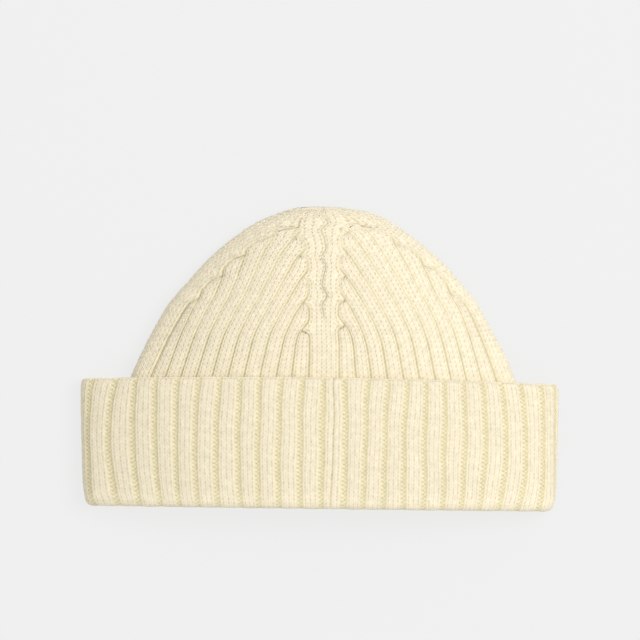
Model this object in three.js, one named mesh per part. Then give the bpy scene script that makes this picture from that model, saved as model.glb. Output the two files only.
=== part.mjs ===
// A rib-knit fisherman beanie with a turned-up cuff, lying on its back.
import * as THREE from 'three';

// Driving sizes in millimetres. X runs across the hat, Y from its mouth to its tip, Z up.
const cuffWidth = 238.4;
const cuffHeight = 63.6;
const cuffWall = 4;
const crownWidth = 192;
const crownRise = 87.2;
const crownWall = 3.6;
const layerGap = 0.35;
const loft = 38;
const foldLip = 8;

// Radii of the soft turns at the hat's sides.
const cuffFoldEdge = 9.8;
const cuffHemEdge = 7.5;
const crownEdge = 7;

// How the hat was laid down: the hem bows up in the middle, and the cuff slopes down to the right.
const hemBow = 2.2;
const hemDrop = 1.5;
const crownOffset = 2.2;
const seamOffset = 6.8;

// The knitted ribs and the grooves between them.
const cuffRibWidth = 10.1;
const crownGroove = 1.3;
const cuffGroove = 1.2;
const seamGroove = 0.7;
const hemRound = 1.2;

const cream = 0xf2e8cf;

// The cuff from its fold up to its hem. up is a share of cuffHeight, width of half cuffWidth,
// high of loft, edge runs from the fold's turn (0) to the hem's (1), and bow is a share of hemBow.
const cuffRows = [
  { up: 0.00, width: 0.970, high: 0.925, edge: 0.0, bow: 0.0 },
  { up: 0.10, width: 0.987, high: 0.955, edge: 0.1, bow: 0.1 },
  { up: 0.50, width: 0.996, high: 0.995, edge: 0.5, bow: 0.5 },
  { up: 0.92, width: 1.000, high: 1.000, edge: 0.9, bow: 0.9 },
  { up: 1.00, width: 0.995, high: 0.995, edge: 1.0, bow: 1.0 },
];

// The crown from the hem up to its tip. rise is a share of crownRise, left and right of half
// crownWidth, high of the crown's height at the hem, low of its lift by the cuff's back layer, and
// edge of crownEdge. follow is how much of the hem's bow and slope is left.
const crownRows = [
  { rise: 0.000, left: 1.005, right: 1.000, high: 1.00, low: 1.00, edge: 1.00, follow: 1.0 },
  { rise: 0.045, left: 0.990, right: 0.985, high: 1.00, low: 0.85, edge: 1.00, follow: 0.8 },
  { rise: 0.166, left: 0.943, right: 0.937, high: 0.99, low: 0.05, edge: 1.00, follow: 0.4 },
  { rise: 0.304, left: 0.880, right: 0.865, high: 0.96, low: 0.00, edge: 1.00, follow: 0.1 },
  { rise: 0.441, left: 0.807, right: 0.797, high: 0.92, low: 0.00, edge: 1.00, follow: 0.0 },
  { rise: 0.579, left: 0.698, right: 0.698, high: 0.86, low: 0.00, edge: 0.95, follow: 0.0 },
  { rise: 0.670, left: 0.625, right: 0.625, high: 0.80, low: 0.00, edge: 0.90, follow: 0.0 },
  { rise: 0.762, left: 0.536, right: 0.531, high: 0.72, low: 0.00, edge: 0.85, follow: 0.0 },
  { rise: 0.854, left: 0.427, right: 0.422, high: 0.61, low: 0.00, edge: 0.78, follow: 0.0 },
  { rise: 0.905, left: 0.354, right: 0.359, high: 0.53, low: 0.00, edge: 0.74, follow: 0.0 },
  { rise: 0.940, left: 0.286, right: 0.307, high: 0.44, low: 0.00, edge: 0.68, follow: 0.0 },
  { rise: 0.974, left: 0.203, right: 0.234, high: 0.34, low: 0.10, edge: 0.58, follow: 0.0 },
  { rise: 0.991, left: 0.157, right: 0.120, high: 0.25, low: 0.40, edge: 0.40, follow: 0.0 },
];

// The shares of a gore's ribs that have run into the bands at its middle and side borders.
const ribEndRows = [
  { rise: 0.00, middle: 0.00, side: 0.00 },
  { rise: 0.17, middle: 0.02, side: 0.00 },
  { rise: 0.30, middle: 0.07, side: 0.00 },
  { rise: 0.44, middle: 0.16, side: 0.04 },
  { rise: 0.58, middle: 0.26, side: 0.15 },
  { rise: 0.76, middle: 0.41, side: 0.32 },
  { rise: 0.90, middle: 0.50, side: 0.45 },
  { rise: 1.00, middle: 0.51, side: 0.46 },
];

// The tip, past the last row: its place across as a share of half crownWidth, and its height.
const tipAcross = -0.02;
const tipHigh = 0.14;

// Corners across one rib, as shares of its width, and how deep in its groove each one lies.
const crownCorners = [{ at: 0, deep: 1 }, { at: 0.22, deep: 0 }, { at: 0.78, deep: 0 }];
const cuffCorners = [
  { at: 0.3, deep: 0 },
  { at: 0.39, deep: 1 },
  { at: 0.61, deep: 1 },
  { at: 0.7, deep: 0 },
];
const plainCorners = [{ at: 0.22, deep: 0 }, { at: 0.78, deep: 0 }];

// A corner this close to a band, in ribs, has run into it. The seam's crease is this wide each way.
const cornerMargin = 0.12;
const seamReach = 0.05;

// Half of the bands between the gores, in ribs: at the middle and at the hat's right and left.
const middleBand = 0.93;
const rightBand = 1;
const leftBand = 1.6;

// How squarely the lying hat is arched, and the corners of each arch and each turn below it.
const archPower = 2.4;
const archSteps = 24;

// Above this rise the middle bands have a groove, of this share of a rib groove's depth.
const bandGrooveStart = 0.34;
const bandGroove = 0.6;
const shoulderRise = 0.9;

// The inner wall goes no deeper into the crown's round edge than this share of its radius.
const deepestShare = 0.9;

const foldY = 0;
const hemY = foldY + cuffHeight;
const turnRadius = (cuffWall + layerGap + crownWall) / 2;
const turnY = foldY + turnRadius;
const crownLift = cuffWall + layerGap;
const crownHigh = loft - crownLift;
const crownFoot = turnY + foldLip + layerGap;

const mix = (a, b, share) => a + (b - a) * share;

// Levels that the crown and the cuff share where they lie on each other.
const layerLevels = [0, 0.35, 0.7, 1].map((share) => mix(crownFoot, hemY, share));

// Values of a table's columns at any place along it, as a smooth curve through its rows.
function sample(rows, column, place) {
  const last = rows.length - 1;
  let i = 0;
  while (i < last - 1 && rows[i + 1][column] < place) i += 1;
  const before = rows[Math.max(i - 1, 0)];
  const from = rows[i];
  const to = rows[i + 1];
  const after = rows[Math.min(i + 2, last)];
  const span = to[column] - from[column];
  const t = Math.min(Math.max((place - from[column]) / span, 0), 1);
  const result = {};
  for (const name of Object.keys(from)) {
    const slopeIn = (to[name] - before[name]) / (to[column] - before[column]);
    const slopeOut = (after[name] - from[name]) / (after[column] - from[column]);
    result[name] = from[name] * (1 + 2 * t) * (1 - t) ** 2 + to[name] * t * t * (3 - 2 * t)
      + span * (slopeIn * t * (1 - t) ** 2 - slopeOut * t * t * (1 - t));
  }
  return result;
}

// One half of a section's core, from the front middle round the side to the back middle. The core is
// a lens, flat below and arched above, and the wall's faces lie at even distances round it.
function halfCore(section, reach, side) {
  const core = reach - section.edge;
  const floor = section.low + section.edge;
  const arch = section.high - section.low - 2 * section.edge;
  const points = [];
  for (let i = 0; i <= archSteps; i += 1) {
    const share = Math.sin((Math.PI / 2) * (i / archSteps));
    const slope = (arch * archPower * share ** (archPower - 1)) / core;
    const angle = Math.atan(slope);
    points.push({ x: core * share, z: floor + arch * (1 - share ** archPower), angle });
  }
  const turnFrom = points[archSteps].angle;
  for (let i = 1; i <= archSteps; i += 1) {
    points.push({ x: core, z: floor, angle: mix(turnFrom, Math.PI, i / archSteps) });
  }
  points.push({ x: 0, z: floor, angle: Math.PI });
  let length = 0;
  let previous = null;
  for (const point of points) {
    const radius = section.edge + section.skin;
    const place = [point.x + Math.sin(point.angle) * radius, point.z + Math.cos(point.angle) * radius];
    if (previous) length += Math.hypot(place[0] - previous[0], place[1] - previous[1]);
    point.length = length;
    previous = place;
  }
  return { points, length, side };
}

// A section's whole core, with a point on it found by quarters: 0 is the front middle, 1 the right
// side, 2 the back middle and 3 the left side.
function coreOf(section) {
  const right = halfCore(section, section.right, 1);
  const left = halfCore(section, section.left, -1);
  const quarter = (right.length + left.length) / 4;
  const find = (quarters) => {
    const turn = ((quarters % 4) + 4) % 4;
    const half = turn < 2 ? right : left;
    const wanted = (turn < 2 ? turn : 4 - turn) / 2 * half.length;
    let i = 1;
    while (i < half.points.length - 1 && half.points[i].length < wanted) i += 1;
    const from = half.points[i - 1];
    const to = half.points[i];
    const t = to.length > from.length ? (wanted - from.length) / (to.length - from.length) : 0;
    const angle = mix(from.angle, to.angle, t) * half.side;
    return { x: mix(from.x, to.x, t) * half.side, z: mix(from.z, to.z, t), angle };
  };
  return { find, quarter };
}

// The cuff's outer section at a height over the fold.
function cuffSection(y) {
  const row = sample(cuffRows, 'up', (y - foldY) / cuffHeight);
  const reach = (row.width * cuffWidth) / 2;
  return {
    y,
    left: reach,
    right: reach,
    low: 0,
    high: row.high * loft,
    edge: mix(cuffFoldEdge, cuffHemEdge, row.edge),
    skin: 0,
    centre: 0,
    lead: seamOffset,
    bow: row.bow * hemBow,
    drop: hemDrop,
    middleBand: 1,
    rightBand: 1,
    leftBand: 1,
    bandGroove: 0,
    middleEnds: 0,
    sideEnds: 0,
  };
}

// The crown's outer section inside the cuff: at the fold it lies against the cuff all round, and it
// narrows to the crown's own width at the hem.
function innerSection(y) {
  const cuff = cuffSection(y);
  const crown = crownSection(0);
  const share = (y - crownFoot) / (hemY - crownFoot);
  const inset = crownLift;
  return {
    ...cuff,
    left: mix(cuff.left - inset, crown.left, share),
    right: mix(cuff.right - inset, crown.right, share),
    low: inset,
    high: cuff.high - inset,
    edge: mix(cuff.edge - inset, crown.edge, share),
    skin: inset * (1 - share),
    centre: crown.centre * share,
    lead: cuff.lead * (1 - share),
    middleBand: mix(1, middleBand, share),
    rightBand: mix(1, rightBand, share),
    leftBand: mix(1, leftBand, share),
  };
}

// The crown's outer section above the hem.
function crownSection(rise) {
  const row = sample(crownRows, 'rise', rise);
  const ends = sample(ribEndRows, 'rise', rise);
  const half = crownWidth / 2;
  return {
    y: hemY + rise * crownRise,
    left: row.left * half,
    right: row.right * half,
    low: Math.max(row.low, 0) * crownLift,
    high: row.high * crownHigh,
    edge: row.edge * crownEdge,
    skin: 0,
    centre: crownOffset,
    lead: 0,
    bow: row.follow * hemBow,
    drop: row.follow * hemDrop,
    middleBand,
    rightBand,
    leftBand,
    bandGroove: rise > bandGrooveStart ? bandGroove : 0,
    middleEnds: ends.middle,
    sideEnds: ends.side,
  };
}

const ribsRound = Math.round(coreOf(cuffSection(hemY)).quarter / cuffRibWidth);
const goreRibs = ribsRound - 2;

// Places across one quarter in three runs: half a band, the gore's live ribs and half a band. Even
// quarters run from a middle line to a side, and odd ones from a side to a middle line.
function quarterRuns(section, corners, quarter) {
  const fromMiddle = quarter % 2 === 0;
  const middle = { band: section.middleBand, ends: section.middleEnds, groove: section.bandGroove };
  const sideBand = quarter < 2 ? section.rightBand : section.leftBand;
  const side = { band: sideBand, ends: section.sideEnds, groove: 0 };
  const start = fromMiddle ? middle : side;
  const end = fromMiddle ? side : middle;
  const first = start.ends * goreRibs;
  const last = end.ends * goreRibs;
  const live = goreRibs - first - last;
  const stop = start.band + live;
  const whole = stop + end.band;
  const before = [{ key: 0, along: 0, deep: start.groove }, { key: 0.5, along: start.band / 2, deep: 0 }];
  const ribs = [{ key: first, along: start.band, deep: 1 }];
  for (let rib = 0; rib < goreRibs; rib += 1) {
    for (const corner of corners) {
      const place = rib + corner.at;
      const inside = place > first + cornerMargin && place < goreRibs - last - cornerMargin;
      if (inside) ribs.push({ key: place, along: start.band + place - first, deep: corner.deep });
    }
  }
  const after = [{ key: 0, along: stop, deep: 1 }, { key: 0.5, along: stop + end.band / 2, deep: 0 }];
  return [before, ribs, after].map((run) => run.map((spot) => ({
    key: spot.key,
    quarters: quarter + spot.along / whole,
    deep: spot.deep,
  })));
}

// Places round the cuff, whose ribs are all alike, with the seam's crease in the front one.
function cuffRuns(corners, seam) {
  const runs = [];
  for (let rib = 0; rib < ribsRound * 4; rib += 1) {
    const run = corners.map((corner) => ({
      key: corner.at,
      quarters: (rib + corner.at) / ribsRound,
      deep: corner.deep,
    }));
    runs.push(run);
  }
  if (seam) {
    const front = runs[ribsRound * 4 - 1];
    for (const place of [-seamReach, 0, seamReach]) {
      front.push({ key: 1 + place, quarters: 4 + place / ribsRound, deep: place === 0 ? seam : 0 });
    }
  }
  return runs;
}

// A closed body built from rings of points. Each ring is a list of runs, and runs that follow each
// other on two rings are joined corner by corner, so that a rib can end where its run gets shorter.
class Shell {
  constructor() {
    this.positions = [];
    this.indices = [];
    this.previous = null;
    this.first = null;
  }

  point(x, y, z) {
    this.positions.push(x, y, z);
    return this.positions.length / 3 - 1;
  }

  ring(section, runs, depth, relief, shift = 0) {
    const core = coreOf(section);
    const lead = section.lead / core.quarter;
    const ring = runs.map((run) => run.map((spot) => {
      const found = core.find(spot.quarters + lead);
      const radius = section.edge - depth - spot.deep * relief;
      const x = found.x + Math.sin(found.angle) * radius;
      const z = found.z + Math.cos(found.angle) * radius;
      const reach = x < 0 ? section.left : section.right;
      const y = section.y + shift + section.bow * (1 - (x / reach) ** 2) - (section.drop * x) / reach;
      return { key: spot.key, index: this.point(x + section.centre, y, z) };
    }));
    if (this.previous) this.join(this.previous, ring);
    this.first = this.first ?? ring;
    this.previous = ring;
  }

  join(below, above) {
    for (let i = 0; i < below.length; i += 1) {
      const next = (i + 1) % below.length;
      this.zip([...below[i], { key: Infinity, index: below[next][0].index }],
        [...above[i], { key: Infinity, index: above[next][0].index }]);
    }
  }

  zip(below, above) {
    let i = 0;
    let j = 0;
    while (i < below.length - 1 || j < above.length - 1) {
      const nextBelow = i < below.length - 1 ? below[i + 1].key : Infinity;
      const nextAbove = j < above.length - 1 ? above[j + 1].key : Infinity;
      const stepBelow = j === above.length - 1 || (i < below.length - 1 && nextBelow <= nextAbove);
      if (stepBelow) {
        this.indices.push(below[i].index, below[i + 1].index, above[j].index);
        i += 1;
      } else {
        this.indices.push(below[i].index, above[j + 1].index, above[j].index);
        j += 1;
      }
    }
  }

  capFirst(x, y, z) {
    const tip = this.point(x, y, z);
    const spots = this.first.flat();
    spots.forEach((spot, i) => {
      this.indices.push(tip, spots[(i + 1) % spots.length].index, spot.index);
    });
  }

  capLast(x, y, z) {
    const tip = this.point(x, y, z);
    const spots = this.previous.flat();
    spots.forEach((spot, i) => {
      this.indices.push(spot.index, spots[(i + 1) % spots.length].index, tip);
    });
  }

  close() {
    this.join(this.previous, this.first);
  }

  mesh(name, material) {
    const geometry = new THREE.BufferGeometry();
    geometry.setAttribute('position', new THREE.Float32BufferAttribute(this.positions, 3));
    geometry.setIndex(this.indices);
    geometry.computeVertexNormals();
    const mesh = new THREE.Mesh(geometry, material);
    mesh.name = name;
    return mesh;
  }
}

function crownRuns(section, corners) {
  return [0, 1, 2, 3].flatMap((quarter) => quarterRuns(section, corners, quarter));
}

// The crown: its dome and the layer that runs on down inside the cuff, hollow and open at the foot.
function makeCrown() {
  const shell = new Shell();
  const rises = crownRows.map((row) => row.rise);
  const half = crownWidth / 2;
  const innerRise = 1 - crownWall / crownRise;
  const inner = rises.slice(0, -1).reverse();
  for (const rise of inner) {
    const section = crownSection(rise);
    section.y = hemY + rise * innerRise * crownRise;
    const depth = Math.min(crownWall, section.edge * deepestShare);
    shell.ring(section, crownRuns(section, plainCorners), depth, 0);
  }
  const covered = layerLevels.slice(0, -1);
  for (const y of [...covered].reverse()) {
    const section = innerSection(y);
    shell.ring(section, crownRuns(section, plainCorners), crownWall, 0);
  }
  for (const y of covered) {
    const section = innerSection(y);
    shell.ring(section, crownRuns(section, crownCorners), 0, crownGroove);
  }
  rises.forEach((rise, i) => {
    const between = i > 0 && rise > bandGrooveStart && rise < shoulderRise;
    const levels = between ? [(rises[i - 1] + rise) / 2, rise] : [rise];
    for (const level of levels) {
      const section = crownSection(level);
      shell.ring(section, crownRuns(section, crownCorners), 0, crownGroove);
    }
  });
  const tipX = crownOffset + tipAcross * half;
  const top = crownSection(inner[0]);
  shell.capLast(tipX, hemY + crownRise, tipHigh * crownHigh);
  shell.capFirst(tipX, hemY + innerRise * crownRise, (top.low + top.high) / 2);
  return shell.mesh('crown', new THREE.MeshStandardMaterial({ color: cream, roughness: 0.95, metalness: 0 }));
}

// The cuff: the turned-up outer layer and its fold, which runs a little way back up inside.
function makeCuff() {
  const shell = new Shell();
  const plain = cuffRuns(plainCorners, 0);
  const ribbed = cuffRuns(cuffCorners, seamGroove / cuffGroove);
  const levels = cuffRows.map((row) => mix(turnY, hemY, row.up));
  const top = levels[levels.length - 1];
  for (const y of [...layerLevels].reverse()) {
    shell.ring(cuffSection(y), plain, cuffWall, 0);
  }
  const turn = cuffSection(turnY);
  shell.ring(turn, plain, cuffWall, 0);
  shell.ring(turn, plain, cuffWall + layerGap / 2, 0, -layerGap / 2);
  shell.ring(turn, plain, cuffWall + layerGap, 0);
  const lipEnd = cuffSection(turnY + foldLip);
  shell.ring(lipEnd, plain, cuffWall + layerGap, 0);
  shell.ring(lipEnd, plain, 2 * turnRadius, 0);
  const turnSteps = 4;
  for (let i = turnSteps; i > 0; i -= 1) {
    const angle = (Math.PI * i) / turnSteps;
    const depth = turnRadius * (1 - Math.cos(angle));
    const fade = 1 - i / turnSteps;
    const runs = i >= turnSteps - 1 ? plain : ribbed;
    shell.ring(turn, runs, depth, cuffGroove * fade, -turnRadius * Math.sin(angle));
  }
  for (const y of levels) {
    const outer = y === top ? y - hemRound : y;
    shell.ring(cuffSection(outer), ribbed, 0, cuffGroove);
  }
  shell.ring(cuffSection(top), ribbed, hemRound, cuffGroove / 2);
  shell.close();
  return shell.mesh('cuff', new THREE.MeshStandardMaterial({ color: cream, roughness: 0.95, metalness: 0 }));
}

const hat = new THREE.Group();
hat.add(makeCrown());
hat.add(makeCuff());

const bounds = new THREE.Box3().setFromObject(hat);
const middle = bounds.getCenter(new THREE.Vector3());
hat.position.set(-middle.x, -middle.y, -bounds.min.z);

export default hat;
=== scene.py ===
import math
import bpy
import numpy as np
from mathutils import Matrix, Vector


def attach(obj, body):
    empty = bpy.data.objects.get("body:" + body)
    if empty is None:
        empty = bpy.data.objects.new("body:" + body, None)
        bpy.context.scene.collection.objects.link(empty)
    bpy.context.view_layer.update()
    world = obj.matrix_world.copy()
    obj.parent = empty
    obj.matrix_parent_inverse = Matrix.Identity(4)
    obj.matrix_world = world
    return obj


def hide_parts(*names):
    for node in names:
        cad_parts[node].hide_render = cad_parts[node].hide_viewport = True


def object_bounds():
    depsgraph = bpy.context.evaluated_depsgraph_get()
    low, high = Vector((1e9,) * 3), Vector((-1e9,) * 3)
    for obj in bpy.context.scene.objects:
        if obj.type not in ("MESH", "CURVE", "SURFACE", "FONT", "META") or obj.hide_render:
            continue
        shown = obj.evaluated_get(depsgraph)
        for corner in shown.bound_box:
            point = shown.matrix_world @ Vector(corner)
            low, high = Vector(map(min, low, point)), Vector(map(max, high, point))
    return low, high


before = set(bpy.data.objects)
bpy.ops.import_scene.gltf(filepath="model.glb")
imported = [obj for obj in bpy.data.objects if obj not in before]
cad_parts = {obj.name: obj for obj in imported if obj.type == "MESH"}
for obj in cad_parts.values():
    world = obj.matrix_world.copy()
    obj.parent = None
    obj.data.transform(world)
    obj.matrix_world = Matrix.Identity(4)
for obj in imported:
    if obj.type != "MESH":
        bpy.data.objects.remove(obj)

cad_low, cad_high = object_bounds()

# Sizes of the hat in millimetres, the same as the model's own.
CUFF_WIDTH = 238.4
CUFF_HEIGHT = 63.6
CUFF_WALL = 4.0
CROWN_WIDTH = 192.0
CROWN_RISE = 87.2
CROWN_WALL = 3.6
LAYER_GAP = 0.35
LOFT = 38.0
FOLD_LIP = 8.0
CUFF_FOLD_EDGE = 9.8
CUFF_HEM_EDGE = 7.5
CROWN_EDGE = 7.0
HEM_BOW = 2.2
HEM_DROP = 1.5
CROWN_OFFSET = 2.2
SEAM_OFFSET = 6.8

# What follows from them: the fold's turn, how far the crown's layer lies inside the cuff's, and
# the places up the hat of the layer's foot and of the hem.
TURN_RADIUS = (CUFF_WALL + LAYER_GAP + CROWN_WALL) / 2
TURN_Y = TURN_RADIUS
CROWN_LIFT = CUFF_WALL + LAYER_GAP
CROWN_HIGH = LOFT - CROWN_LIFT
CROWN_FOOT = TURN_Y + FOLD_LIP + LAYER_GAP
HEM_Y = CUFF_HEIGHT
SHIFT_Y = cad_high.y * 1000 - (CUFF_HEIGHT + CROWN_RISE)

# The tip's place, as shares of half the crown's width and of its height.
TIP_ACROSS = -0.02
TIP_HIGH = 0.14

# The shape of each section: how square its arch is, and the steps along half of its core.
ARCH_POWER = 2.4
CORE_STEPS = 60

# The crown's sheet: its rings up to the last table row, then the ones that close on the tip, and
# how much of a section's rounded edge the wall may fill.
RING_STEP = 1.0
TIP_RINGS = 6
TIP_LAST = 0.97
DEEPEST_SHARE = 0.9

# The ribs: how many lie in a quarter round the cuff and in each gore between two of the crown's
# bands, and how wide half a band is, in ribs. Only the right band is wider than in the model.
RIBS_ROUND = 12
GORE_RIBS = 10
BAND = 0.93
RIGHT_BAND = 1.55
LEFT_BAND = 1.6

# How far the right side is turned to the back, in quarters.
RIGHT_TURN = 0.045

# The ribs' ends: how much of its width a rib still has there, at the middle and side bands, and
# the share of the rise over which its end is rounded.
MIDDLE_STEP = 0.44
SIDE_STEP = 0.50
END_REACH = 0.040

# The first rib beside a band narrows early: shares of its end's rise, and its loss by then.
FIRST_NARROWING = [(0.35, 0.1), (0.7, 0.3)]
LAST_NARROWING = 0.05
NARROWING_BLUR = (-.03, -.015, 0, .015, .03)

# The rib beside a middle band keeps itself this much wider, where about this many ribs are left.
HOLD = 0.2
HOLD_AT = 0.6
HOLD_REACH = 0.35
SWING_POWER = 1.6

# Sizes of the knit: the heights of the courses, how far a stitch's sides lie over its middle, in
# courses, the rows of points in a course, and how far the crown's courses bend up at the sides.
COURSE = 2.1
CUFF_COURSE = 2.07
CHEVRON = 0.87
SUB_ROWS = 3
SIDE_RISE = 10.0
RIB_WALES = 3

# The cuff from its fold to its hem, and the crown from the hem to its tip, as shares.
CUFF_ROWS = {
    "up": [0, 0.10, 0.50, 0.92, 1],
    "width": [0.970, 0.987, 0.996, 1.000, 0.995],
    "high": [0.925, 0.955, 0.995, 1.000, 0.995],
    "edge": [0, 0.1, 0.5, 0.9, 1],
    "bow": [0, 0.1, 0.5, 0.9, 1],
}
CROWN_ROWS = {
    "rise": [0, .045, .166, .304, .441, .579, .670, .762, .854, .905, .940, .974, .991],
    "left": [1.005, .990, .943, .880, .807, .698, .625, .536, .427, .354, .286, .203, .157],
    "right": [1, .985, .937, .865, .797, .698, .625, .531, .422, .356, .298, .208, .110],
    "high": [1, 1, .99, .96, .92, .86, .80, .72, .61, .53, .44, .34, .25],
    "low": [1, .85, .05, 0, 0, 0, 0, 0, 0, 0, 0, .1, .4],
    "edge": [1, 1, 1, 1, 1, .95, .90, .85, .78, .74, .68, .58, .40],
    "follow": [1, .8, .4, .1, 0, 0, 0, 0, 0, 0, 0, 0, 0],
}
LAST_RISE = CROWN_ROWS["rise"][-1]

# Rises at which the ribs beside each band end, one after the other: the bands up the middle of
# the front and back, and the bands up the sides.
MIDDLE_RIGHT = [.322, .471, .603, .741, .856, .902]
MIDDLE_LEFT = [.287, .448, .592, .724, .822]
SIDE_RIGHT = [.505, .665, .790, .893]
SIDE_LEFT = [.483, .609, .724, .833, .885]

# The four quarters round the crown, from the front's middle by the right side: the rises of the
# rib ends and the half band's width in ribs at the quarter's start and end.
QUARTERS = [
    {"ends": (MIDDLE_RIGHT, SIDE_RIGHT), "bands": (BAND, RIGHT_BAND)},
    {"ends": (SIDE_RIGHT, MIDDLE_RIGHT), "bands": (RIGHT_BAND, BAND)},
    {"ends": (MIDDLE_LEFT, SIDE_LEFT), "bands": (BAND, LEFT_BAND)},
    {"ends": (SIDE_LEFT, MIDDLE_LEFT), "bands": (LEFT_BAND, BAND)},
]

# Where the cuff's grooves lie across its front at three heights over the fold, in millimetres
# from the model's middle, from the left to the right. The seam's crease is between the halves.
GROOVE_HEIGHTS = [3.5, 31.5, 59]
GROOVES_LOW = [-113.8, -100.8, -90.3, -79.8, -70.3, -60.8, -50.8, -39.3, -30.3, -20.3, -9.8, 0.8,
               5.4, 12.2, 21.5, 31.5, 41.5, 51.8, 61.2, 70.3, 79.7, 89.7, 99.7, 109.7, 116.8]
GROOVES_MIDDLE = [-116.0, -105.8, -93.3, -82.3, -71.8, -62.3, -51.8, -40.8, -31.0, -20.8, -9.8,
                  1.0, 6.8, 12.8, 22.5, 32.4, 41.8, 52.2, 61.9, 72.2, 82.5, 92.8, 102.8, 111.8,
                  117.8]
GROOVES_HIGH = [-114.8, -102.8, -92.6, -82.3, -71.3, -60.8, -50.3, -39.8, -29.8, -19.3, -8.8, 1.8,
                7.2, 12.8, 23.8, 33.7, 43.3, 52.8, 62.2, 71.8, 81.5, 91.3, 100.8, 111.3, 118.0]
GROOVE_RIBS = [n - 11.5 for n in range(12)] + [0] + [n + 0.5 for n in range(12)]


def mix(a, b, share):
    return a + (b - a) * share


def soft(share):
    share = np.clip(share, 0, 1)
    return share * share * (3 - 2 * share)


def fade(place, start, reach):
    """From 0 at the start smoothly to 1 over the reach."""
    return soft((place - start) / reach)


def drift(a, b, seed, scale=1.0):
    """A smooth, repeatable unevenness, about -1 to 1, as a sum of waves in different directions."""
    total = 0
    for n in range(4):
        turn = seed * 1.7 + n * 2.4
        along = a * math.cos(turn * 1.3) + b * math.sin(turn * 1.3)
        total = total + math.cos(turn) * 0.5 * np.sin(along * scale * (1 + 0.6 * n) + turn * 3)
    return total


def lengths_along(points):
    """How far along a line of points each one lies."""
    return np.concatenate([[0], np.cumsum(np.linalg.norm(np.diff(points, axis=0), axis=1))])


# The sections and the smooth sheets

def sample(rows, column, place):
    """Values of a table's columns at a place along it, as a smooth curve through its rows."""
    along = rows[column]
    last = len(along) - 1
    i = 0
    while i < last - 1 and along[i + 1] < place:
        i += 1
    before, after = max(i - 1, 0), min(i + 2, last)
    span = along[i + 1] - along[i]
    t = min(max((place - along[i]) / span, 0), 1)
    result = {}
    for name, values in rows.items():
        slope_in = (values[i + 1] - values[before]) / (along[i + 1] - along[before])
        slope_out = (values[after] - values[i]) / (along[after] - along[i])
        result[name] = (values[i] * (1 + 2 * t) * (1 - t) ** 2
                        + values[i + 1] * t * t * (3 - 2 * t)
                        + span * (slope_in * t * (1 - t) ** 2 - slope_out * t * t * (1 - t)))
    return result


def half_core(section, reach):
    """One half of a section's core: a lens, flat below and arched above."""
    core = reach - section["edge"]
    floor = section["low"] + section["edge"]
    arch = section["high"] - section["low"] - 2 * section["edge"]
    share = np.sin(np.pi / 2 * np.arange(CORE_STEPS + 1) / CORE_STEPS)
    over = np.arctan(arch * ARCH_POWER * share ** (ARCH_POWER - 1) / core)
    under = mix(over[-1], np.pi, np.arange(1, CORE_STEPS + 1) / CORE_STEPS)
    x = np.concatenate([core * share, np.full(CORE_STEPS, core), [0]])
    z = np.concatenate([floor + arch * (1 - share ** ARCH_POWER), np.full(CORE_STEPS + 1, floor)])
    angle = np.concatenate([over, under, [np.pi]])
    radius = section["edge"] + section["skin"]
    step = np.hypot(np.diff(x + np.sin(angle) * radius), np.diff(z + np.cos(angle) * radius))
    return x, z, angle, np.concatenate([[0], np.cumsum(step)])


def ring(section, quarters, depth, shift=0.0):
    """Points of a section at places round it: 0 is the front middle, 1 the right side."""
    right = half_core(section, section["right"])
    left = half_core(section, section["left"])
    quarter = (right[3][-1] + left[3][-1]) / 4
    turn = np.mod(quarters + section["lead"] / quarter, 4)
    points = np.zeros((len(turn), 3))
    for half, side, chosen in ((right, 1, turn < 2), (left, -1, turn >= 2)):
        x, z, angle, length = half
        share = np.where(side > 0, turn, 4 - turn)[chosen] / 2
        wanted = share * length[-1]
        lean = np.interp(wanted, length, angle)
        radius = section["edge"] - depth
        across = np.interp(wanted, length, x) + np.sin(lean) * radius
        points[chosen, 0] = across * side
        points[chosen, 2] = np.interp(wanted, length, z) + np.cos(lean) * radius
    x = points[:, 0]
    reach = np.where(x < 0, section["left"], section["right"])
    points[:, 1] = (section["y"] + shift + section["bow"] * (1 - (x / reach) ** 2)
                    - section["drop"] * x / reach)
    points[:, 0] += section["centre"]
    return points


def cuff_section(y):
    """The cuff's section at a height over the fold."""
    row = sample(CUFF_ROWS, "up", y / CUFF_HEIGHT)
    reach = row["width"] * CUFF_WIDTH / 2
    return {"y": y, "left": reach, "right": reach, "low": 0, "high": row["high"] * LOFT,
            "edge": mix(CUFF_FOLD_EDGE, CUFF_HEM_EDGE, row["edge"]), "skin": 0, "centre": 0,
            "lead": SEAM_OFFSET, "bow": row["bow"] * HEM_BOW, "drop": HEM_DROP}


def crown_section(rise):
    """The crown's section at a share of its rise over the hem."""
    row = sample(CROWN_ROWS, "rise", rise)
    half = CROWN_WIDTH / 2
    return {"y": HEM_Y + rise * CROWN_RISE, "left": row["left"] * half,
            "right": row["right"] * half, "low": max(row["low"], 0) * CROWN_LIFT,
            "high": row["high"] * CROWN_HIGH, "edge": row["edge"] * CROWN_EDGE, "skin": 0,
            "centre": CROWN_OFFSET, "lead": 0, "bow": row["follow"] * HEM_BOW,
            "drop": row["follow"] * HEM_DROP}


def inner_section(y):
    """The section of the crown's own layer inside the cuff."""
    cuff = cuff_section(y)
    crown = crown_section(0)
    share = (y - CROWN_FOOT) / (HEM_Y - CROWN_FOOT)
    return {**cuff, "left": mix(cuff["left"] - CROWN_LIFT, crown["left"], share),
            "right": mix(cuff["right"] - CROWN_LIFT, crown["right"], share),
            "low": CROWN_LIFT, "high": cuff["high"] - CROWN_LIFT,
            "edge": mix(cuff["edge"] - CROWN_LIFT, crown["edge"], share),
            "skin": CROWN_LIFT * (1 - share), "centre": crown["centre"] * share,
            "lead": cuff["lead"] * (1 - share)}


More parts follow.
